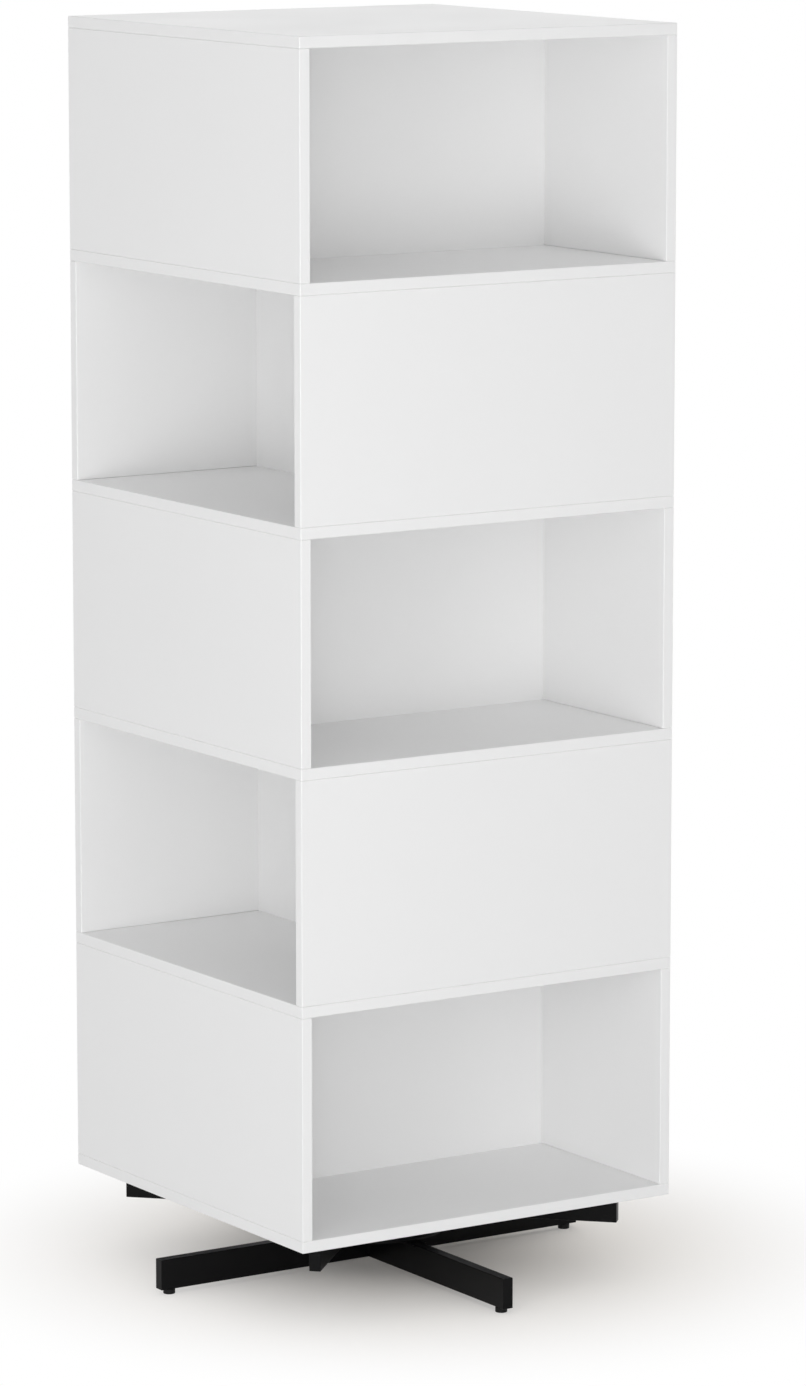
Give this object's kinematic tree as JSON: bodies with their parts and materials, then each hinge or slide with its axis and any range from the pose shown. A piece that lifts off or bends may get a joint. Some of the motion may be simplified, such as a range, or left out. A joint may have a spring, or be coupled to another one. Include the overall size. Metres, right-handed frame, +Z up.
{
  "type": "rotating media tower",
  "caption": "Square rotating shelf tower whose open compartments alternate between its faces, on a ball swivel between two black flat-bar crosses.",
  "frame": {"origin": "on the floor, on the swivel's axis, under the middle of the tower", "axes": "+Z up along the swivel's axis; -Y is the front, which the top compartment opens to; +X is to the right seen from the front"},
  "size_m": [0.519, 0.519, 1.302],
  "materials": {
    "white_lacquer": "fibreboard, satin white lacquer",
    "beech": "plain turned beech",
    "black_steel": "fine matt black powder coat on flat steel bar",
    "bearing_steel": "blackened, lightly oiled",
    "polished_steel": "polished bearing steel",
    "black_screw_steel": "black oxide",
    "zinc_steel": "bright zinc plate",
    "brass": "plain turned brass",
    "cage_nylon": "natural moulded nylon",
    "black_nylon": "moulded black nylon"
  },
  "bodies": {
    "base": {"lower_bar_a": "black_steel", "lower_bar_b": "black_steel", "swivel_plate_lower": "black_steel", "bearing_ring_inner": "bearing_steel", "ring_screws_lower": "black_screw_steel"},
    "tower": {"top_panel": "white_lacquer", "shelf_4": "white_lacquer", "shelf_3": "white_lacquer", "shelf_2": "white_lacquer", "shelf_1": "white_lacquer", "bottom_panel": "white_lacquer", "tier_1_side_left": "white_lacquer", "tier_1_side_right": "white_lacquer", "tier_1_divider": "white_lacquer", "tier_1_dowels": "beech", "tier_2_side_front": "white_lacquer", "tier_2_side_back": "white_lacquer", "tier_2_divider": "white_lacquer", "tier_2_dowels": "beech", "tier_3_side_left": "white_lacquer", "tier_3_side_right": "white_lacquer", "tier_3_divider": "white_lacquer", "tier_3_dowels": "beech", "tier_4_side_front": "white_lacquer", "tier_4_side_back": "white_lacquer", "tier_4_divider": "white_lacquer", "tier_4_dowels": "beech", "tier_5_side_left": "white_lacquer", "tier_5_side_right": "white_lacquer", "tier_5_divider": "white_lacquer", "tier_5_dowels": "beech", "upper_bar_a": "black_steel", "upper_bar_b": "black_steel", "cross_screws": "black_screw_steel", "threaded_inserts": "brass", "swivel_plate_upper": "black_steel", "bearing_ring_outer": "bearing_steel", "ring_screws_upper": "black_screw_steel"},
    "bearing_cage": {"bearing_balls": "polished_steel", "ball_cage": "cage_nylon"},
    "foot_left": {"foot_pad_left": "black_nylon", "foot_stud_left": "zinc_steel"},
    "foot_right": {"foot_pad_right": "black_nylon", "foot_stud_right": "zinc_steel"},
    "foot_front": {"foot_pad_front": "black_nylon", "foot_stud_front": "zinc_steel"},
    "foot_back": {"foot_pad_back": "black_nylon", "foot_stud_back": "zinc_steel"}
  },
  "joints": [
    {"name": "tower_turn", "type": "hinge", "parent": "base", "child": "tower", "pos_m": [0, 0, 0.0465], "axis": [0, 0, 1], "continuous": true},
    {"name": "cage_turn", "type": "hinge", "parent": "base", "child": "bearing_cage", "pos_m": [0, 0, 0.0465], "axis": [0, 0, 1], "continuous": true},
    {"name": "foot_left_travel", "type": "slide", "parent": "base", "child": "foot_left", "axis": [0, 0, -1], "range_m": [0, 0.008]},
    {"name": "foot_right_travel", "type": "slide", "parent": "base", "child": "foot_right", "axis": [0, 0, -1], "range_m": [0, 0.008]},
    {"name": "foot_front_travel", "type": "slide", "parent": "base", "child": "foot_front", "axis": [0, 0, -1], "range_m": [0, 0.008]},
    {"name": "foot_back_travel", "type": "slide", "parent": "base", "child": "foot_back", "axis": [0, 0, -1], "range_m": [0, 0.008]}
  ],
  "couplings": [
    {"joint": "cage_turn", "follows": "tower_turn", "ratio": 0.519}
  ]
}
